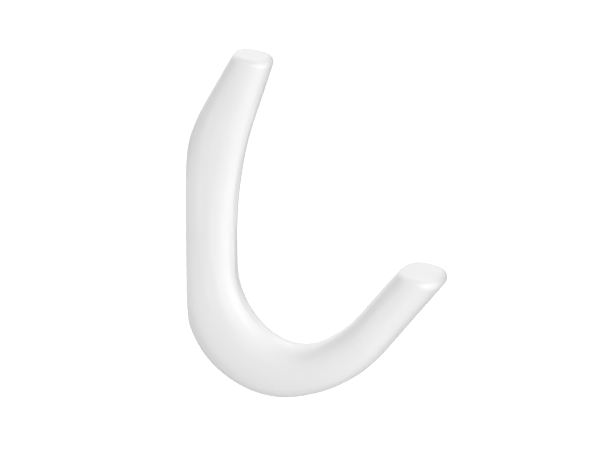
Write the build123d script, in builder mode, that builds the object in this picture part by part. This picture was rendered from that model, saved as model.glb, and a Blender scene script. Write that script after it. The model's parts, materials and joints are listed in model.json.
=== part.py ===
"""Coat hook, cast in one piece: a prong that leans out at the top, a stem that is flat against the wall,
a round bowl and a straight front arm, in millimetres.

Frame: the wall is the plane X = 0 and the hook reaches out along +X, with +Z up and Y across its width.
The origin is the mouth of the screw hole, in the flat back of the stem.
"""

from build123d import *
import os

# Heights of the two flat tips above the screw hole
TOP_TIP_HEIGHT = 54.6
FRONT_TIP_HEIGHT = 5.7

# The rod runs this far past its tips before they are cut flat
TIP_OVERRUN = 10.0

# Inner rail, which a coat's loop touches: depth from the wall, then heights, angles and radii
INNER_DEPTH = 13.0
INNER_STEM_TOP = 0.5
INNER_STEM_BOTTOM = -7.0
INNER_LEAN = 17.7
INNER_LEAN_RADIUS = 116.0
INNER_BOWL_RADII = (19.4, 14.6, 49.5)
INNER_BOWL_TURNS = (54.3, 68.7, 21.0)

# Outer rail, which runs behind the wall plane along the stem so that the wall cuts the back flat
OUTER_DEPTH = -2.6
OUTER_STEM_TOP = 9.7
OUTER_STEM_BOTTOM = -17.4
OUTER_LEAN = 28.3
OUTER_LEAN_RADIUS = 58.7
OUTER_BOWL_RADII = (28.1, 20.4, 26.6, 54.6)
OUTER_BOWL_TURNS = (27.7, 32.5, 49.0, 35.7)

# Half width across the hook at the top tip, half way and at the front tip
TOP_HALF_WIDTH = 4.1
MIDDLE_HALF_WIDTH = 4.2
FRONT_HALF_WIDTH = 6.05

# Sections of the rod, counted from the stem's middle to each tip
UPPER_SECTIONS = 8
LOWER_SECTIONS = 16

# Soft edges
TIP_EDGE_RADIUS = 1.0
BACK_EDGE_RADIUS = 0.6

# Blind hole for an M4 machine screw that comes from behind the wall board
SCREW_RADIUS = 2.0
SCREW_HOLE_DEPTH = 9.0
HOLE_MOUTH_CHAMFER = 0.3


def rail(depth, stem_top, stem_bottom, lean, lean_radius, bowl_radii, bowl_turns):
    """One rail in the hook's middle plane, as two lines that start at the stem's middle.

    The upper one runs up the stem and out along the prong, and the lower one round the bowl and up the arm.
    """
    with BuildLine(Plane.XZ) as upper:
        stem = Line((depth, 0), (depth, stem_top))
        shoulder = JernArc(stem @ 1, stem % 1, lean_radius, -lean)
        reach = (TOP_TIP_HEIGHT + TIP_OVERRUN - (shoulder @ 1).Z) / (shoulder % 1).Z
        Line(shoulder @ 1, (shoulder @ 1) + (shoulder % 1) * reach)

    with BuildLine(Plane.XZ) as lower:
        bend = Line((depth, 0), (depth, stem_bottom))
        for radius, turn in zip(bowl_radii, bowl_turns):
            bend = JernArc(bend @ 1, bend % 1, radius, turn)
        reach = (FRONT_TIP_HEIGHT + TIP_OVERRUN - (bend @ 1).Z) / (bend % 1).Z
        Line(bend @ 1, (bend @ 1) + (bend % 1) * reach)
    return upper.wire(), lower.wire()


def facing_points(inner, outer, count):
    """Pairs of points that face each other, the same share of the way along the two rails."""
    return [(inner @ (step / count), outer @ (step / count)) for step in range(count + 1)]


def half_width(share):
    """Half width of the rod at a share of its length, on a parabola through the three named widths."""
    bulge = 4 * MIDDLE_HALF_WIDTH - 2 * TOP_HALF_WIDTH - 2 * FRONT_HALF_WIDTH
    return TOP_HALF_WIDTH + (FRONT_HALF_WIDTH - TOP_HALF_WIDTH) * share + bulge * share * (1 - share)


def section(inner, outer, side):
    """Elliptical section of the rod between two facing points, drawn as four quarters."""
    across = (inner - outer).normalized()
    along = across.cross(Vector(0, 1, 0))
    with BuildSketch(Plane(origin=(inner + outer) / 2, x_dir=across, z_dir=along)) as sketch:
        with BuildLine():
            for quarter in range(4):
                EllipticalCenterArc((0, 0), (inner - outer).length / 2, side, 90 * quarter, arc_size=90)
        make_face()
    return sketch.sketch.face()


inner_upper, inner_lower = rail(
    INNER_DEPTH,
    INNER_STEM_TOP,
    INNER_STEM_BOTTOM,
    INNER_LEAN,
    INNER_LEAN_RADIUS,
    INNER_BOWL_RADII,
    INNER_BOWL_TURNS,
)
outer_upper, outer_lower = rail(
    OUTER_DEPTH,
    OUTER_STEM_TOP,
    OUTER_STEM_BOTTOM,
    OUTER_LEAN,
    OUTER_LEAN_RADIUS,
    OUTER_BOWL_RADII,
    OUTER_BOWL_TURNS,
)
pairs = facing_points(inner_upper, outer_upper, UPPER_SECTIONS)[:0:-1]
pairs += facing_points(inner_lower, outer_lower, LOWER_SECTIONS)

# Distance along the middle of the rod at each section
middles = [(inner + outer) / 2 for inner, outer in pairs]
distances = [0.0]
for before, after in zip(middles, middles[1:]):
    distances.append(distances[-1] + (after - before).length)

sections = []
for (inner, outer), distance in zip(pairs, distances):
    sections.append(section(inner, outer, half_width(distance / distances[-1])))

with BuildPart() as hook:
    # The rod is a loft through its sections
    loft(sections)

    # The wall plane cuts the back flat, and a level plane cuts each tip
    split(bisect_by=Plane.YZ, keep=Keep.TOP)
    split(bisect_by=Plane.XY.offset(TOP_TIP_HEIGHT), keep=Keep.BOTTOM)
    with BuildSketch(Plane.XY.offset(FRONT_TIP_HEIGHT)):
        with Locations((3 * INNER_DEPTH, 0)):
            Rectangle(8 * INNER_DEPTH, 4 * FRONT_HALF_WIDTH, align=(Align.MIN, Align.CENTER))
    extrude(amount=2 * TIP_OVERRUN, mode=Mode.SUBTRACT)

    # Soft edges round the two tips and round the flat back
    tips = faces().filter_by(GeomType.PLANE).filter_by(Axis.Z)
    fillet(tips.edges(), radius=TIP_EDGE_RADIUS)
    back = faces().filter_by(GeomType.PLANE).filter_by(Axis.X).sort_by(Axis.X)[0]
    fillet(back.edges(), radius=BACK_EDGE_RADIUS)

    # Screw hole in the back, with its mouth eased
    with BuildSketch(Plane.YZ):
        Circle(SCREW_RADIUS)
    extrude(amount=SCREW_HOLE_DEPTH, mode=Mode.SUBTRACT)
    mouth = edges().filter_by(GeomType.CIRCLE).sort_by(Axis.X)[0]
    chamfer(mouth, length=HOLE_MOUTH_CHAMFER)

hook.part.label = "hook"
os.makedirs("parts", exist_ok=True)
export_step(hook.part, "parts/hook.step")
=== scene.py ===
"""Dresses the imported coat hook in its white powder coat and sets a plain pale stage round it.

Metres, in the part's own frame: the wall is the plane X = 0, the hook reaches out along +X, +Z is
up and Y runs across it. The origin is the mouth of the screw hole in the flat back.
"""

import json
import math

import bpy
import numpy as np
from bpy.props import FloatProperty, FloatVectorProperty, PointerProperty
from mathutils import Matrix, Vector


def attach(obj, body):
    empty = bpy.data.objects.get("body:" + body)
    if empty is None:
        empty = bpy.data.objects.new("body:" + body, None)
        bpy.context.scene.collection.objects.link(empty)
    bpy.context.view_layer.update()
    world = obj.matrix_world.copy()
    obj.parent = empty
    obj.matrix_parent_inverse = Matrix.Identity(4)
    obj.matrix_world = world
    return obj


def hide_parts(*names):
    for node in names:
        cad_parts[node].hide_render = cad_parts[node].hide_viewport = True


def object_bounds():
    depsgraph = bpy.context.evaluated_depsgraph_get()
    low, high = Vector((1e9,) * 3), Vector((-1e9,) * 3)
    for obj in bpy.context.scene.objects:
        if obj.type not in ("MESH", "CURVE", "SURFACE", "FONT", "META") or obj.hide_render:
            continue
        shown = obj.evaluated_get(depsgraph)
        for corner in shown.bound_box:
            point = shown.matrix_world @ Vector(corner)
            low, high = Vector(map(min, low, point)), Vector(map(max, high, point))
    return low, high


bl_info = {
    "name": "Cast Coat Hook",
    "version": (1, 0, 0),
    "blender": (4, 5, 0),
    "location": "3D View > Sidebar > Coat Hook",
    "description": "Makes the coated casting of a one-piece coat hook and a plain stage for it",
    "category": "Object",
}

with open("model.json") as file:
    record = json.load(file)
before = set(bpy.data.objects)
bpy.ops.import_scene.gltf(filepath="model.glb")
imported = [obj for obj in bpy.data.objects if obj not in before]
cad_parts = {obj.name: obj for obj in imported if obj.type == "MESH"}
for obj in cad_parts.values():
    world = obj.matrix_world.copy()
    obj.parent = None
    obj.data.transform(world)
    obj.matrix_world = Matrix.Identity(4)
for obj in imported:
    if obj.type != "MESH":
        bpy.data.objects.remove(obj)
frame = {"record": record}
CAD_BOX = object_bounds()

# Height of the solid's top, and radius of its screw hole
CAD_TOP = CAD_BOX[1][2]
MOUNTS = {mount["name"]: mount for mount in frame["record"]["mounts"]}
SCREW_RADIUS = MOUNTS["screw_hole"]["dims"]["r_mm"] / 1000

# Low waves that polishing leaves: how many go round the rod, and the length along it in which each
# turns once, which is negative where it winds the other way. They start WAVES_START in from the
# rod's ends, and rise over WAVES_RISE.
POLISHING_WAVES = ((5, 0.043), (7, -0.057), (9, 0.038), (12, -0.049), (14, 0.061), (17, -0.034))
WAVES_START = 0.016
WAVES_RISE = 0.010

# Samples by which the rod's length is summed up
LENGTH_SAMPLES = 801

# Search for a tip on each line of the rod: first guesses of its share, steps, and a change that
# gives the slope. The longer change gives the line's direction at the tip.
TOP_TIP_SHARE = -0.85
FRONT_TIP_SHARE = 0.90
NEWTON_STEPS = 8
SHARE_NUDGE = 1e-4
TIP_STEP = 1e-3

# Least values that keep the flat's angle defined where the rod is clear of the wall
LEAST_REACH = 1e-6
LEAST_PART = 1e-3

# Columns at the back, as angles: the flat band is at least this wide to each side, and the bands of
# close columns at its edges narrow down as the flat grows to its full angle
LEAST_FLAT_BAND = 0.42
EDGE_BAND = 0.20
EDGE_BAND_NARROWING = 0.12
FULL_FLAT_ANGLE = 0.5

# Half the eased zone at the back's edge, as a share of the edge's radius
EDGE_SOFTNESS = 0.55

# Half height of the patch of the back that holds the hole's rings, and the depth that is still flat
HOLE_PATCH = 0.0031
FLAT_DEPTH = 1e-6

# Steepness of the thread's flanks, and the angle between faces past which an edge is shaded sharp
FLANK_STEEPNESS = 1.5
SHARP_ANGLE = math.radians(38)

# Noises of the finishes, as scale, detail and roughness, and heights of those that are bumps
THIN_PATCHES = (45.0, 3.0, 0.5)
GLOSS_PATCHES = (140.0, 2.0, 0.5)
ORANGE_PEEL = (900.0, 1.0, 0.4)
COAT_GRAIN = (5200.0, 2.0, 0.5)
METAL_STAINS = (700.0, 4.0, 0.6)
TAP_MARKS = (6000.0, 2.0, 0.6)
PEEL_HEIGHT = 0.000012
GRAIN_HEIGHT = 0.0000016
TAP_MARK_HEIGHT = 0.000004

# Part of a noise's range that is stretched, and the changes of the coat's roughness that it gives
NOISE_MIDDLE = (0.3, 0.7)
GLOSS_SPREAD = (-0.04, 0.05)

# The coat's reflectance, the bare metal's least and most roughness, and the shade of its stains
COAT_IOR = 1.48
COAT_SPECULAR = 0.35
METAL_ROUGHNESS = (0.28, 0.42)
STAIN_SHADE = 0.82

# Floor: its paint, the level that is added where it is seen, and half its side
FLOOR_PAINT = 0.20
FLOOR_LIFT = 0.95
FLOOR_HALF = 6.0

# Lamps face the hook's middle, each from an azimuth and elevation in degrees
HOOK_MIDDLE = np.array((0.035, 0.0, 0.005))
LAMP_DISTANCE = 1.2
LAMP_SIZE = 0.8
KEY_LAMP_SIDE = (30, 10)
FRONT_LAMP_SIDE = (100, 10)
HIGH_LAMP_SIDE = (210, 50)
WALL_LAMP_SIDE = (252, 10)

# Least distance at which the camera shows a thing
CAMERA_NEAR = 0.01


class CastingSizes(bpy.types.PropertyGroup):
    """Sizes of the casting: the solid's own, but for a fuller section and softer tip edges."""

    top_tip_height: FloatProperty(
        name="Top Tip Height",
        description="Height of the prong's flat tip above the screw hole",
        default=CAD_TOP,
        unit="LENGTH",
    )
    front_tip_height: FloatProperty(
        name="Front Tip Height",
        description="Height of the arm's flat tip above the screw hole",
        default=0.0057,
        unit="LENGTH",
    )
    tip_overrun: FloatProperty(
        name="Tip Overrun",
        description="How far the rod runs past its tips before they are cut flat",
        default=0.010,
        unit="LENGTH",
    )
    inner_depth: FloatProperty(
        name="Inner Rail Depth",
        description="Distance from the wall to the side of the stem that faces the coat",
        default=0.0130,
        unit="LENGTH",
    )
    inner_stem: FloatVectorProperty(
        name="Inner Straight Stem",
        description="Heights between which the inner rail is straight, top and bottom",
        size=2,
        default=(0.0005, -0.0070),
        unit="LENGTH",
    )
    inner_lean: FloatProperty(
        name="Inner Lean",
        description="Angle by which the prong's inner side leans out",
        default=math.radians(17.7),
        subtype="ANGLE",
    )
    inner_lean_radius: FloatProperty(
        name="Inner Lean Radius",
        description="Radius of the inner side's bend into the prong",
        default=0.116,
        unit="LENGTH",
    )
    inner_bowl_radii: FloatVectorProperty(
        name="Inner Bowl Radii",
        description="Radii of the three arcs round the inside of the bowl, from stem to arm",
        size=3,
        default=(0.0194, 0.0146, 0.0495),
        unit="LENGTH",
    )
    inner_bowl_turns: FloatVectorProperty(
        name="Inner Bowl Turns",
        description="Angles of the three arcs round the inside of the bowl, from stem to arm",
        size=3,
        default=tuple(math.radians(turn) for turn in (54.3, 68.7, 21.0)),
        unit="ROTATION",
    )
    outer_depth: FloatProperty(
        name="Outer Rail Depth",
        description="Place of the outer rail along the stem, behind the wall plane",
        default=-0.0026,
        unit="LENGTH",
    )
    outer_stem: FloatVectorProperty(
        name="Outer Straight Stem",
        description="Heights between which the outer rail is straight, top and bottom",
        size=2,
        default=(0.0097, -0.0174),
        unit="LENGTH",
    )
    outer_lean: FloatProperty(
        name="Outer Lean",
        description="Angle by which the prong's outer side leans out",
        default=math.radians(28.3),
        subtype="ANGLE",
    )
    outer_lean_radius: FloatProperty(
        name="Outer Lean Radius",
        description="Radius of the outer side's bend into the prong",
        default=0.0587,
        unit="LENGTH",
    )
    outer_bowl_radii: FloatVectorProperty(
        name="Outer Bowl Radii",
        description="Radii of the four arcs round the outside of the bowl, from stem to arm",
        size=4,
        default=(0.0281, 0.0204, 0.0266, 0.0546),
        unit="LENGTH",
    )
    outer_bowl_turns: FloatVectorProperty(
        name="Outer Bowl Turns",
        description="Angles of the four arcs round the outside of the bowl, from stem to arm",
        size=4,
        default=tuple(math.radians(turn) for turn in (27.7, 32.5, 49.0, 35.7)),
        unit="ROTATION",
    )
    half_widths: FloatVectorProperty(
        name="Half Widths",
        description="Half width across the hook at the top tip, half way and at the front tip",
        size=3,
        default=(0.0041, 0.0042, 0.00605),
        unit="LENGTH",
    )
    fullness: FloatProperty(
        name="Section Fullness",
        description="Power of the section's rounding: 2 is an ellipse, more is a little squarer",
        default=2.4,
        min=2.0,
        max=4.0,
    )
    tip_edge_radius: FloatProperty(
        name="Tip Edge Radius",
        description="Radius of the soft edge round each flat tip, with the coat on it",
        default=0.0017,
        unit="LENGTH",
    )
    back_edge_radius: FloatProperty(
        name="Back Edge Radius",
        description="Radius of the soft edge round the flat back",
        default=0.0006,
        unit="LENGTH",
    )
    unevenness: FloatProperty(
        name="Unevenness",
        description="Height of each of the low waves that polishing leaves in the casting",
        default=0.000009,
        unit="LENGTH",
    )


class ThreadSizes(bpy.types.PropertyGroup):
    """Sizes of the tapped hole in the back, for an M4 machine screw."""

    radius: FloatProperty(
        name="Major Radius",
        description="Radius of the hole at the bottom of the thread's grooves",
        default=SCREW_RADIUS,
        unit="LENGTH",
    )
    crest_radius: FloatProperty(
        name="Crest Radius",
        description="Radius of the hole at the thread's crests",
        default=0.00166,
        unit="LENGTH",
    )
    pitch: FloatProperty(
        name="Pitch",
        description="Distance from one turn of the thread to the next",
        default=0.0007,
        unit="LENGTH",
    )
    depth: FloatProperty(
        name="Depth",
        description="Depth of the hole from the flat back",
        default=0.0090,
        unit="LENGTH",
    )
    chamfer: FloatProperty(
        name="Mouth Chamfer",
        description="Width of the chamfer round the hole's mouth",
        default=0.0003,
        unit="LENGTH",
    )


class CoatLook(bpy.types.PropertyGroup):
    """Colours and gloss of the powder coat and of the bare metal in the hole."""

    coat_colour: FloatVectorProperty(
        name="Coat Colour",
        description="Colour of the white powder coat",
        size=3,
        default=(0.88, 0.88, 0.88),
        min=0.0,
        max=1.0,
        subtype="COLOR",
    )
    thin_colour: FloatVectorProperty(
        name="Thin Coat Colour",
        description="Colour where the coat lies a little thinner",
        size=3,
        default=(0.855, 0.855, 0.856),
        min=0.0,
        max=1.0,
        subtype="COLOR",
    )
    coat_roughness: FloatProperty(
        name="Coat Roughness",
        description="Roughness of the satin coat",
        default=0.48,
        min=0.0,
        max=1.0,
        subtype="FACTOR",
    )
    metal_colour: FloatVectorProperty(
        name="Bare Metal Colour",
        description="Colour of the cast zinc in the tapped hole",
        size=3,
        default=(0.52, 0.53, 0.54),
        min=0.0,
        max=1.0,
        subtype="COLOR",
    )


class StageLook(bpy.types.PropertyGroup):
    """Floor, lamps and camera."""

    floor_height: FloatProperty(
        name="Floor Height",
        description="Height of the floor, which lies well below a hook that hangs on a wall",
        default=-0.32,
        unit="LENGTH",
    )
    sky_strength: FloatProperty(
        name="Sky Strength",
        description="Strength of the even light from all round",
        default=0.22,
        min=0.0,
    )
    key_power: FloatProperty(
        name="Key Lamp Power",
        description="Power of the large lamp on the camera's side",
        default=13.7,
        min=0.0,
        unit="POWER",
    )
    front_power: FloatProperty(
        name="Front Lamp Power",
        description="Power of the large lamp before the hook's open side",
        default=2.5,
        min=0.0,
        unit="POWER",
    )
    high_power: FloatProperty(
        name="High Lamp Power",
        description="Power of the large lamp that is high up on the far side",
        default=9.4,
        min=0.0,
        unit="POWER",
    )
    wall_side_power: FloatProperty(
        name="Wall Side Lamp Power",
        description="Power of the large lamp behind the wall plane",
        default=5.0,
        min=0.0,
        unit="POWER",
    )
    azimuth: FloatProperty(
        name="Camera Azimuth",
        description="Turn of the camera from the hook's side towards its front",
        default=math.radians(30.0),
        subtype="ANGLE",
    )
    elevation: FloatProperty(
        name="Camera Elevation",
        description="Angle of the camera above the horizon",
        default=math.radians(27.0),
        subtype="ANGLE",
    )
    distance: FloatProperty(
        name="Camera Distance",
        description="Distance of the camera from the screw hole along the line of sight",
        default=1.17,
        unit="LENGTH",
    )
    aside: FloatVectorProperty(
        name="Camera Offset",
        description="Shift of the camera to the right and up in its own frame",
        size=2,
        default=(0.02797, 0.00129),
        unit="LENGTH",
    )
    lens: FloatProperty(
        name="Lens",
        description="Focal length for a sensor 36 mm wide",
        default=270.0,
        unit="CAMERA",
    )


def walk(start, heading, lengths, turns, shares):
    """Points of the XZ plane at shares of the length of a run of lines and arcs.

    Each piece has a length and the angle that it turns by, which is 0 for a line. A point lies one
    chord away from its piece's start: the chord is the way times sin(h) / h, in the piece's heading
    there turned by h, where h is half the angle turned so far.
    """
    lengths, turns = np.asarray(lengths), np.asarray(turns)
    ends = np.concatenate([[0.0], np.cumsum(lengths)])
    headings = heading + np.concatenate([[0.0], np.cumsum(turns)])

    def chord(way, turned, towards):
        length = way * np.sinc(turned / (2 * np.pi))
        direction = towards + turned / 2
        return np.stack([length * np.cos(direction), length * np.sin(direction)], axis=-1)

    whole = chord(lengths, turns, headings[:-1])
    joints = np.asarray(start) + np.concatenate([np.zeros((1, 2)), np.cumsum(whole, axis=0)])
    distance = shares * ends[-1]
    piece = np.clip(np.searchsorted(ends, distance, side="right") - 1, 0, len(lengths) - 1)
    way = distance - ends[piece]
    return joints[piece] + chord(way, turns[piece] * way / lengths[piece], headings[piece])


def rail(depth, stem, lean, lean_radius, radii, turns, ends, shares):
    """Points of one rail at shares between -1 and 1.

    Share 0 is at the hole's height, -1 is past the top tip and 1 is past the front tip. The upper
    run is the stem, an arc that leans out and a straight prong. The lower run is the stem, arcs
    round the bowl and a straight arm. Each straight end stops at its given height.
    """
    top, front = ends
    up, down = np.pi / 2, -np.pi / 2
    shoulder = walk((depth, 0), up, (stem[0], lean_radius * lean), (0, -lean), np.array([1.0]))[0]
    prong = (top - shoulder[1]) / math.cos(lean)
    upper = walk(
        (depth, 0),
        up,
        (stem[0], lean_radius * lean, prong),
        (0, -lean, 0),
        np.abs(shares),
    )

    bowl = [radius * turn for radius, turn in zip(radii, turns)]
    elbow = walk((depth, 0), down, (-stem[1], *bowl), (0, *turns), np.array([1.0]))[0]
    arm = (front - elbow[1]) / math.sin(down + sum(turns))
    lower = walk((depth, 0), down, (-stem[1], *bowl, arm), (0, *turns, 0), np.abs(shares))
    return np.where(shares[..., None] < 0, upper, lower)


class Rod:
    """The rod of the casting as a surface of two parameters, before its tips and back are worked.

    A share picks a pair of facing points, one on each rail. An angle goes round the section between
    them, from 0 on the inner rail to half a turn on the outer one. A point is at the middle + half
    depth * cos(angle) / k towards the inner point + half width * sin(angle) / k across the hook,
    where k is the p-th root of |cos(angle)| ^ p + |sin(angle)| ^ p. With p = 2 that is an ellipse.
    """

    def __init__(self, sizes):
        heights = (sizes.top_tip_height, sizes.front_tip_height)
        self.ends = tuple(height + sizes.tip_overrun for height in heights)
        self.inner = (
            sizes.inner_depth,
            tuple(sizes.inner_stem),
            sizes.inner_lean,
            sizes.inner_lean_radius,
            tuple(sizes.inner_bowl_radii),
            tuple(sizes.inner_bowl_turns),
        )
        self.outer = (
            sizes.outer_depth,
            tuple(sizes.outer_stem),
            sizes.outer_lean,
            sizes.outer_lean_radius,
            tuple(sizes.outer_bowl_radii),
            tuple(sizes.outer_bowl_turns),
        )
        self.top_width, self.middle_width, self.front_width = sizes.half_widths
        self.power = sizes.fullness
        self.unevenness = sizes.unevenness
        self.shares = np.linspace(-1, 1, LENGTH_SAMPLES)
        middle, _, _ = self.section(self.shares)
        steps = np.linalg.norm(np.diff(middle, axis=0), axis=1)
        self.distances = np.concatenate([[0.0], np.cumsum(steps)])

    def section(self, share):
        """Middle, direction towards the inner rail and half depth of the section at a share."""
        inner = rail(*self.inner, self.ends, share)
        outer = rail(*self.outer, self.ends, share)
        depth = np.linalg.norm(inner - outer, axis=-1)
        return (inner + outer) / 2, (inner - outer) / depth[..., None], depth / 2

    def half_width(self, share):
        """Half width on a parabola through those at the top tip, half way and at the front tip."""
        way = np.interp(share, self.shares, self.distances) / self.distances[-1]
        bulge = 4 * self.middle_width - 2 * self.top_width - 2 * self.front_width
        return self.top_width + (self.front_width - self.top_width) * way + bulge * way * (1 - way)

    def ripple(self, share, angle):
        """Height of the polishing waves: a sum of sines of turns * angle + turns along the rod.

        Each sine starts at its own phase, and all of them fade out towards the rod's ends.
        """
        way = np.interp(share, self.shares, self.distances)
        waves = [
            np.sin(turns * angle + 2 * np.pi * way / length + turns)
            for turns, length in POLISHING_WAVES
        ]
        nearest_end = np.minimum(way, self.distances[-1] - way)
        rise = np.clip((nearest_end - WAVES_START) / WAVES_RISE, 0, 1)
        return self.unevenness * sum(waves) * rise

    def at(self, share, angle):
        """Points at shares and angles, both arrays of one shape."""
        middle, towards, half_depth = self.section(share)
        half_width = self.half_width(share)
        powers = np.abs(np.cos(angle)) ** self.power + np.abs(np.sin(angle)) ** self.power
        size = powers ** (-1 / self.power) * (1 + self.ripple(share, angle) / half_width)
        flat = middle + towards * (half_depth * size * np.cos(angle))[..., None]
        side = half_width * size * np.sin(angle)
        return np.stack([flat[..., 0], side, flat[..., 1]], axis=-1)

    def share_at_height(self, height, first, angle):
        """Share at which each line along the rod reaches a height, by Newton steps from a guess."""
        share = np.full_like(angle, first)
        for _ in range(NEWTON_STEPS):
            z = self.at(share, angle)[..., 2]
            slope = (self.at(share + SHARE_NUDGE, angle)[..., 2] - z) / SHARE_NUDGE
            share = share + (height - z) / slope
        return share

    def flat_angle(self, share):
        """Half the section's angle behind the wall plane, where cos(angle) / k = middle / reach."""
        middle, towards, half_depth = self.section(share)
        reach = np.maximum(half_depth * towards[..., 0], LEAST_REACH)
        part = np.clip(middle[..., 0] / reach, LEAST_PART, 1)
        return np.arctan2((1 - part**self.power) ** (1 / self.power), part)


def pressed_to_wall(points, softness):
    """Moves what is behind the wall plane onto it, with a soft edge.

    Depth x becomes 0 below -s, x above s, and (x + s) squared / 4 s between them.
    """
    x = points[..., 0]
    curve = (x + softness) ** 2 / (4 * softness)
    eased = np.where(x < -softness, 0.0, np.where(x > softness, x, curve))
    return np.concatenate([eased[..., None], points[..., 1:]], axis=-1)


def tip_rows(rod, angle, height, first, radius, steps):
    """Rows that round a tip's edge, and the share at which the rod meets them, both for each angle.

    The rod's line and the flat tip meet at an edge point. Between one point on each, at the tangent
    length r / tan(a / 2) of a corner with the angle a, the row follows the conic with the weight
    sin(a / 2), which is a circle's arc.
    """
    share = rod.share_at_height(height, first, angle)
    edge = rod.at(share, angle)
    from_tip = -np.sign(first)
    line = rod.at(share + TIP_STEP * from_tip, angle) - edge
    speed = np.linalg.norm(line, axis=-1) / TIP_STEP
    down = line / np.linalg.norm(line, axis=-1)[:, None]
    along = np.roll(edge, -1, axis=0) - np.roll(edge, 1, axis=0)
    along /= np.linalg.norm(along, axis=-1)[:, None]
    inward = np.stack([-along[:, 1], along[:, 0], np.zeros(len(along))], axis=-1)
    facing = np.sum(inward * (edge.mean(axis=0) - edge), axis=-1)
    inward *= np.sign(facing)[:, None]

    square = down - np.sum(down * along, axis=-1)[:, None] * along
    slant = np.linalg.norm(square, axis=-1)
    corner = np.arccos(np.clip(np.sum(square * inward, axis=-1) / slant, -1, 1))
    tangent = radius / np.tan(corner / 2)
    start_share = share + from_tip * tangent / slant / speed
    start = rod.at(start_share, angle)
    end = edge + inward * tangent[:, None]

    way = np.linspace(0, 1, steps + 1)[:, None]
    from_start = (1 - way[..., None]) ** 2
    from_edge = 2 * np.sin(corner / 2)[:, None] * (way * (1 - way))[..., None]
    from_end = way[..., None] ** 2
    blend = from_start * start + from_edge * edge + from_end * end
    return blend / (from_start + from_edge + from_end), start_share


class Counts:
    """How many faces the grid has: round the rod, along it, and in the hole."""

    # Round the rod: the front, each edge of the back, and the back itself
    FRONT = 84
    CORNER = 7
    FLAT = 20

    # Along it: above and below the hole, round the edge of each tip, and across each tip
    UPPER = 110
    LOWER = 250
    EDGE = 8
    CAP = 7

    # In the hole: from the patch's border to the mouth, in a turn of the thread, and in the bottom
    HOLE_BLEND = 4
    TURN = 10
    BOTTOM = 4


def column_angles(rod, share):
    """Angles of the columns in each row: even round the front and the flat, closer at its edges."""
    cut = rod.flat_angle(share)
    flat = np.maximum(cut, LEAST_FLAT_BAND)
    edge = EDGE_BAND - EDGE_BAND_NARROWING * np.clip(cut / FULL_FLAT_ANGLE, 0, 1)
    half = np.pi * np.ones_like(flat)
    stops = (
        0 * flat,
        half - flat - edge,
        half - flat + edge,
        half + flat - edge,
        half + flat + edge,
        2 * half,
    )
    counts = (Counts.FRONT // 2, Counts.CORNER, Counts.FLAT, Counts.CORNER, Counts.FRONT // 2)
    runs = []
    for start, stop, count in zip(stops, stops[1:], counts):
        way = np.arange(count) / count
        runs.append(start[:, None] + (stop - start)[:, None] * way)
    return np.concatenate(runs, axis=1)


def casting_grid(sizes):
    """Rows of points from the top tip's middle to the front tip's, each closed round the rod."""
    rod = Rod(sizes)
    ends = {}
    for name, height, first in (
        ("top", sizes.top_tip_height, TOP_TIP_SHARE),
        ("front", sizes.front_tip_height, FRONT_TIP_SHARE),
    ):
        angle = column_angles(rod, np.array([first]))[0]
        ends[name] = tip_rows(rod, angle, height, first, sizes.tip_edge_radius, Counts.EDGE)

    upper_way = np.linspace(1, 0, Counts.UPPER + 1)[:-1, None]
    lower_way = np.linspace(0, 1, Counts.LOWER + 1)[:, None]
    share = np.concatenate([upper_way * ends["top"][1], lower_way * ends["front"][1]])
    angle = column_angles(rod, share.mean(axis=1))
    side = pressed_to_wall(rod.at(share, angle), sizes.back_edge_radius * EDGE_SOFTNESS)

    inset = np.linspace(0, 1, Counts.CAP + 1)[1:, None, None]
    caps = {}
    for name, (rows, _) in ends.items():
        rim = rows[-1]
        caps[name] = rim + (rim.mean(axis=0) - rim) * inset
    rows = [
        caps["top"][::-1],
        ends["top"][0][1:][::-1],
        side,
        ends["front"][0][1:],
        caps["front"],
    ]
    return np.concatenate(rows)


def hole_block(grid):
    """First and last row and column of the patch of the flat back that holds the screw hole."""
    start = Counts.FRONT // 2 + Counts.CORNER
    left, right = start + 1, start + Counts.FLAT - 1
    line = grid[:, (left + right) // 2]
    on_back = np.flatnonzero((np.abs(line[:, 2]) < HOLE_PATCH) & (line[:, 0] < FLAT_DEPTH))
    return on_back[0], on_back[-1], left, right


def hole_rings(loop, thread):
    """Rings from the patch's border to the mouth, down the thread and over the bottom.

    In the thread the radius is a blunt saw of the phase x / pitch - angle / full turn, so that its
    crests climb in a right-handed helix. They rise from the wall after the mouth and end before the
    bottom.
    """
    count = len(loop)
    start = math.atan2(loop[0, 2], loop[0, 1])
    angle = start + 2 * np.pi * np.arange(count) / count
    ring = np.stack([0 * angle, np.cos(angle), np.sin(angle)], axis=-1)

    mouth = ring * (thread.radius + thread.chamfer)
    blend = np.linspace(0, 1, Counts.HOLE_BLEND + 1)[1:, None, None]
    face = loop + (mouth - loop) * blend

    first, last = thread.chamfer, thread.depth
    depth = np.arange(first, last, thread.pitch / Counts.TURN)
    depth = np.append(depth[depth < last - thread.pitch / Counts.TURN / 2], last)[:, None]
    phase = depth / thread.pitch - angle / (2 * np.pi)
    saw = np.abs(2 * (phase - np.floor(phase)) - 1)
    crest = np.clip(0.5 + FLANK_STEEPNESS * (saw - 0.5), 0, 1)
    run_in = np.clip((depth - first) / thread.pitch, 0, 1)
    run_out = np.clip((last - depth) / thread.pitch, 0, 1)
    radius = thread.radius - (thread.radius - thread.crest_radius) * crest * run_in * run_out
    wall = np.stack([depth + 0 * angle, radius * np.cos(angle), radius * np.sin(angle)], axis=-1)

    inset = np.linspace(1, 0, Counts.BOTTOM + 1)[1:, None, None]
    bottom = wall[-1] * np.array((0.0, 1.0, 1.0)) * inset + np.array((last, 0.0, 0.0))
    return face, wall, bottom


def ring_faces(rows):
    """Quads between rows of vertex numbers, each row closed round."""
    after = np.roll(rows, -1, axis=1)
    return np.stack([rows[:-1], rows[1:], after[1:], after[:-1]], axis=-1)


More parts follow.
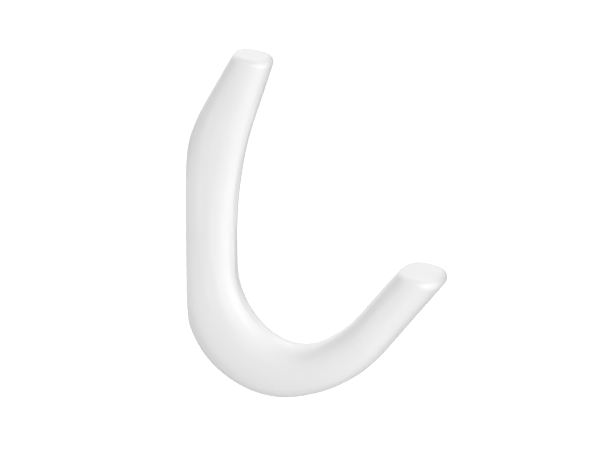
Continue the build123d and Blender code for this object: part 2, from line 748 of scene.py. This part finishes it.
def fan_faces(ring, middle, closes):
    """Triangles between a ring of vertex numbers and the vertex that starts or closes the rows."""
    after = np.roll(ring, -1)
    centre = np.full_like(ring, middle)
    return np.stack([after, ring, centre] if closes else [ring, after, centre], axis=-1)


def casting_mesh(sizes, thread):
    """The casting's closed mesh with its threaded hole, whose faces take the second material."""
    grid = casting_grid(sizes)
    row_count, column_count = grid.shape[:2]
    numbers = np.arange(row_count * column_count).reshape(row_count, column_count)
    skin = grid.reshape(-1, 3)

    quads = ring_faces(numbers[1:-1])
    top, bottom, left, right = hole_block(grid)
    keep = np.ones(quads.shape[:2], bool)
    keep[top - 1 : bottom - 1, left:right] = False
    loop = np.concatenate(
        [
            numbers[top, left:right],
            numbers[top:bottom, right],
            numbers[bottom, right:left:-1],
            numbers[bottom:top:-1, left],
        ]
    )
    face, wall, bottom_rings = hole_rings(skin[loop], thread)
    rings = np.concatenate([face, wall, bottom_rings])
    ring_numbers = len(skin) + np.arange(rings.shape[0] * rings.shape[1]).reshape(rings.shape[:2])
    hole = ring_faces(np.concatenate([loop[None], ring_numbers[:-1]]))
    bare = np.zeros(hole.shape[:2], int)
    bare[len(face) + 1 :] = 1

    poles = [
        fan_faces(numbers[1], numbers[0, 0], False),
        fan_faces(numbers[-2], numbers[-1, 0], True),
        fan_faces(ring_numbers[-2], ring_numbers[-1, 0], True),
    ]
    quads = np.concatenate([quads[keep], hole.reshape(-1, 4)])
    triangles = np.concatenate(poles)
    materials = np.concatenate(
        [
            np.zeros(keep.sum(), int),
            bare.reshape(-1),
            np.zeros(2 * column_count, int),
            np.ones(len(loop), int),
        ]
    )

    # Points that no face uses are left out, and the rest are numbered anew
    points = np.concatenate([skin, rings.reshape(-1, 3)])
    corners = np.concatenate([quads.reshape(-1), triangles.reshape(-1)])
    used, corners = np.unique(corners, return_inverse=True)
    four, three = np.split(corners.reshape(-1), [quads.size])
    faces = four.reshape(-1, 4).tolist() + three.reshape(-1, 3).tolist()
    mesh = bpy.data.meshes.new("cast_hook")
    mesh.from_pydata(points[used].tolist(), [], faces)
    mesh.polygons.foreach_set("material_index", materials)
    mesh.polygons.foreach_set("use_smooth", np.ones(len(faces), bool))
    mesh.update()
    mesh.validate()
    return mesh


def new_material(name):
    """An empty material with an output, and its node tree."""
    material = bpy.data.materials.new(name)
    material.use_nodes = True
    material.node_tree.nodes.clear()
    return material, material.node_tree


def noise(tree, coordinates, kind):
    """A noise over the object's own coordinates, with a scale, a detail and a roughness."""
    node = tree.nodes.new("ShaderNodeTexNoise")
    for name, value in zip(("Scale", "Detail", "Roughness"), kind):
        node.inputs[name].default_value = value
    tree.links.new(coordinates, node.inputs["Vector"])
    return node.outputs["Fac"]


def spread(tree, value, low, high):
    """A noise's middle range stretched to lie between two values."""
    node = tree.nodes.new("ShaderNodeMapRange")
    node.inputs["From Min"].default_value, node.inputs["From Max"].default_value = NOISE_MIDDLE
    node.inputs["To Min"].default_value = low
    node.inputs["To Max"].default_value = high
    tree.links.new(value, node.inputs["Value"])
    return node.outputs["Result"]


def mixed_colour(tree, factor, first, second):
    """A colour between two, by a factor."""
    node = tree.nodes.new("ShaderNodeMix")
    node.data_type = "RGBA"
    node.inputs["A"].default_value = (*first, 1.0)
    node.inputs["B"].default_value = (*second, 1.0)
    tree.links.new(factor, node.inputs["Factor"])
    return node.outputs["Result"]


def bump(tree, height, distance, below=None):
    """A bump of a height in metres, over the normal of the one below it."""
    node = tree.nodes.new("ShaderNodeBump")
    node.inputs["Strength"].default_value = 1.0
    node.inputs["Distance"].default_value = distance
    tree.links.new(height, node.inputs["Height"])
    if below is not None:
        tree.links.new(below, node.inputs["Normal"])
    return node.outputs["Normal"]


def white_coat(look):
    """Satin powder coat: an even white with faint thin patches, orange peel and a fine grain."""
    material, tree = new_material("white_coat")
    place = tree.nodes.new("ShaderNodeTexCoord").outputs["Object"]
    shader = tree.nodes.new("ShaderNodeBsdfPrincipled")
    output = tree.nodes.new("ShaderNodeOutputMaterial")
    tree.links.new(shader.outputs["BSDF"], output.inputs["Surface"])

    patches = spread(tree, noise(tree, place, THIN_PATCHES), 0.0, 1.0)
    tint = mixed_colour(tree, patches, look.coat_colour, look.thin_colour)
    tree.links.new(tint, shader.inputs["Base Color"])

    low, high = (look.coat_roughness + change for change in GLOSS_SPREAD)
    roughness = spread(tree, noise(tree, place, GLOSS_PATCHES), low, high)
    tree.links.new(roughness, shader.inputs["Roughness"])

    peel = bump(tree, noise(tree, place, ORANGE_PEEL), PEEL_HEIGHT)
    grain = bump(tree, noise(tree, place, COAT_GRAIN), GRAIN_HEIGHT, peel)
    tree.links.new(grain, shader.inputs["Normal"])
    shader.inputs["IOR"].default_value = COAT_IOR
    shader.inputs["Specular IOR Level"].default_value = COAT_SPECULAR
    return material


def bare_zinc(look):
    """Cut metal of the tapped hole: grey, with faint stains and the tap's fine marks."""
    material, tree = new_material("bare_zinc")
    place = tree.nodes.new("ShaderNodeTexCoord").outputs["Object"]
    shader = tree.nodes.new("ShaderNodeBsdfPrincipled")
    output = tree.nodes.new("ShaderNodeOutputMaterial")
    tree.links.new(shader.outputs["BSDF"], output.inputs["Surface"])

    dull = tuple(STAIN_SHADE * channel for channel in look.metal_colour)
    stain = noise(tree, place, METAL_STAINS)
    tree.links.new(mixed_colour(tree, stain, look.metal_colour, dull), shader.inputs["Base Color"])
    tree.links.new(spread(tree, stain, *METAL_ROUGHNESS), shader.inputs["Roughness"])
    marks = bump(tree, noise(tree, place, TAP_MARKS), TAP_MARK_HEIGHT)
    tree.links.new(marks, shader.inputs["Normal"])
    shader.inputs["Metallic"].default_value = 1.0
    return material


def pale_floor():
    """Floor that keeps shadows, and is lifted to white where it is seen or reflected."""
    material, tree = new_material("pale_floor")
    output = tree.nodes.new("ShaderNodeOutputMaterial")
    paint = tree.nodes.new("ShaderNodeBsdfDiffuse")
    paint.inputs["Color"].default_value = (FLOOR_PAINT, FLOOR_PAINT, FLOOR_PAINT, 1.0)
    lift = tree.nodes.new("ShaderNodeEmission")
    tree.links.new(seen_rays(tree, FLOOR_LIFT), lift.inputs["Strength"])
    both = tree.nodes.new("ShaderNodeAddShader")
    tree.links.new(paint.outputs["BSDF"], both.inputs[0])
    tree.links.new(lift.outputs["Emission"], both.inputs[1])
    tree.links.new(both.outputs["Shader"], output.inputs["Surface"])
    return material


def seen_rays(tree, strength):
    """A strength for camera, glossy and transmission rays, and 0 for the rest."""
    path = tree.nodes.new("ShaderNodeLightPath")
    either = path.outputs["Is Camera Ray"]
    for name in ("Is Glossy Ray", "Is Transmission Ray"):
        node = tree.nodes.new("ShaderNodeMath")
        node.operation = "MAXIMUM"
        tree.links.new(either, node.inputs[0])
        tree.links.new(path.outputs[name], node.inputs[1])
        either = node.outputs["Value"]
    scaled = tree.nodes.new("ShaderNodeMath")
    scaled.operation = "MULTIPLY"
    scaled.inputs[1].default_value = strength
    tree.links.new(either, scaled.inputs[0])
    return scaled.outputs["Value"]


def soft_sky(strength):
    """World that lights evenly at a strength and shows as white where it is seen."""
    world = bpy.data.worlds.new("soft_sky")
    world.use_nodes = True
    tree = world.node_tree
    tree.nodes.clear()
    output = tree.nodes.new("ShaderNodeOutputWorld")
    sky = tree.nodes.new("ShaderNodeBackground")
    sky.inputs["Color"].default_value = (1.0, 1.0, 1.0, 1.0)
    raised = tree.nodes.new("ShaderNodeMath")
    raised.operation = "ADD"
    raised.inputs[1].default_value = strength
    tree.links.new(seen_rays(tree, 1.0 - strength), raised.inputs[0])
    tree.links.new(raised.outputs["Value"], sky.inputs["Strength"])
    tree.links.new(sky.outputs["Background"], output.inputs["Surface"])
    return world


def direction(azimuth, elevation):
    """Unit vector at an azimuth, turned from the hook's side to its front, and an elevation."""
    level = math.cos(elevation)
    return np.array((math.sin(azimuth) * level, -math.cos(azimuth) * level, math.sin(elevation)))


def soft_lamp(name, side, power):
    """Square lamp that faces the hook's middle from a side, an azimuth and elevation in degrees."""
    data = bpy.data.lights.new(name, "AREA")
    data.shape = "SQUARE"
    data.size = LAMP_SIZE
    data.energy = power
    lamp = bpy.data.objects.new(name, data)
    back = direction(*(math.radians(angle) for angle in side))
    aim(lamp, HOOK_MIDDLE + LAMP_DISTANCE * back, back)
    bpy.context.scene.collection.objects.link(lamp)


def aim(thing, place, back):
    """Puts a lamp or camera at a place, upright, with its back turned along a direction."""
    back = Vector(back).normalized()
    right = Vector((0.0, 0.0, 1.0)).cross(back).normalized()
    upright = back.cross(right)
    thing.matrix_world = Matrix(
        (
            (right.x, upright.x, back.x, place[0]),
            (right.y, upright.y, back.y, place[1]),
            (right.z, upright.z, back.z, place[2]),
            (0, 0, 0, 1),
        )
    )


class COATHOOK_OT_make_casting(bpy.types.Operator):
    """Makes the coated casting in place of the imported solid"""

    bl_idname = "coathook.make_casting"
    bl_label = "Make Casting"

    def execute(self, context):
        scene = context.scene
        mesh = casting_mesh(scene.casting_sizes, scene.thread_sizes)
        mesh.materials.append(white_coat(scene.coat_look))
        mesh.materials.append(bare_zinc(scene.coat_look))
        mesh.set_sharp_from_angle(angle=SHARP_ANGLE)
        casting = bpy.data.objects.new("cast_hook", mesh)
        scene.collection.objects.link(casting)
        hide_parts("hook")
        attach(casting, "root")
        return {"FINISHED"}


class COATHOOK_OT_make_stage(bpy.types.Operator):
    """Makes the floor, the soft light and the camera"""

    bl_idname = "coathook.make_stage"
    bl_label = "Make Stage"

    def execute(self, context):
        scene = context.scene
        look = scene.stage_look
        scene.view_settings.view_transform = "Standard"
        mesh = bpy.data.meshes.new("floor")
        outline = FLOOR_HALF * np.array(((-1, -1), (1, -1), (1, 1), (-1, 1)))
        mesh.from_pydata([(x, y, look.floor_height) for x, y in outline], [], [(0, 1, 2, 3)])
        mesh.materials.append(pale_floor())
        floor = bpy.data.objects.new("floor", mesh)
        scene.collection.objects.link(floor)

        scene.world = soft_sky(look.sky_strength)
        soft_lamp("key_lamp", KEY_LAMP_SIDE, look.key_power)
        soft_lamp("front_lamp", FRONT_LAMP_SIDE, look.front_power)
        soft_lamp("high_lamp", HIGH_LAMP_SIDE, look.high_power)
        soft_lamp("wall_side_lamp", WALL_LAMP_SIDE, look.wall_side_power)

        back = direction(look.azimuth, look.elevation)
        right = np.array((math.cos(look.azimuth), math.sin(look.azimuth), 0.0))
        upright = np.cross(back, right)
        place = look.distance * back + look.aside[0] * right + look.aside[1] * upright
        data = bpy.data.cameras.new("camera")
        data.lens = look.lens
        data.clip_start = CAMERA_NEAR
        camera = bpy.data.objects.new("camera", data)
        aim(camera, place, back)
        scene.collection.objects.link(camera)
        scene.camera = camera
        return {"FINISHED"}


class COATHOOK_PT_sidebar(bpy.types.Panel):
    """Sizes, looks and makers of the coat hook"""

    bl_label = "Coat Hook"
    bl_idname = "COATHOOK_PT_sidebar"
    bl_space_type = "VIEW_3D"
    bl_region_type = "UI"
    bl_category = "Coat Hook"

    def draw(self, context):
        scene = context.scene
        for group in (scene.casting_sizes, scene.thread_sizes, scene.coat_look, scene.stage_look):
            box = self.layout.box()
            for name in group.__annotations__:
                box.prop(group, name)
        self.layout.operator(COATHOOK_OT_make_casting.bl_idname)
        self.layout.operator(COATHOOK_OT_make_stage.bl_idname)


GROUPS = {
    "casting_sizes": CastingSizes,
    "thread_sizes": ThreadSizes,
    "coat_look": CoatLook,
    "stage_look": StageLook,
}
CLASSES = (*GROUPS.values(), COATHOOK_OT_make_casting, COATHOOK_OT_make_stage, COATHOOK_PT_sidebar)


def register():
    for each in CLASSES:
        bpy.utils.register_class(each)
    for name, group in GROUPS.items():
        setattr(bpy.types.Scene, name, PointerProperty(type=group))


def unregister():
    for name in GROUPS:
        delattr(bpy.types.Scene, name)
    for each in reversed(CLASSES):
        bpy.utils.unregister_class(each)


def main():
    """Registers the classes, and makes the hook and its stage."""
    register()
    bpy.ops.coathook.make_casting()
    bpy.ops.coathook.make_stage()


if __name__ == "__main__":
    main()
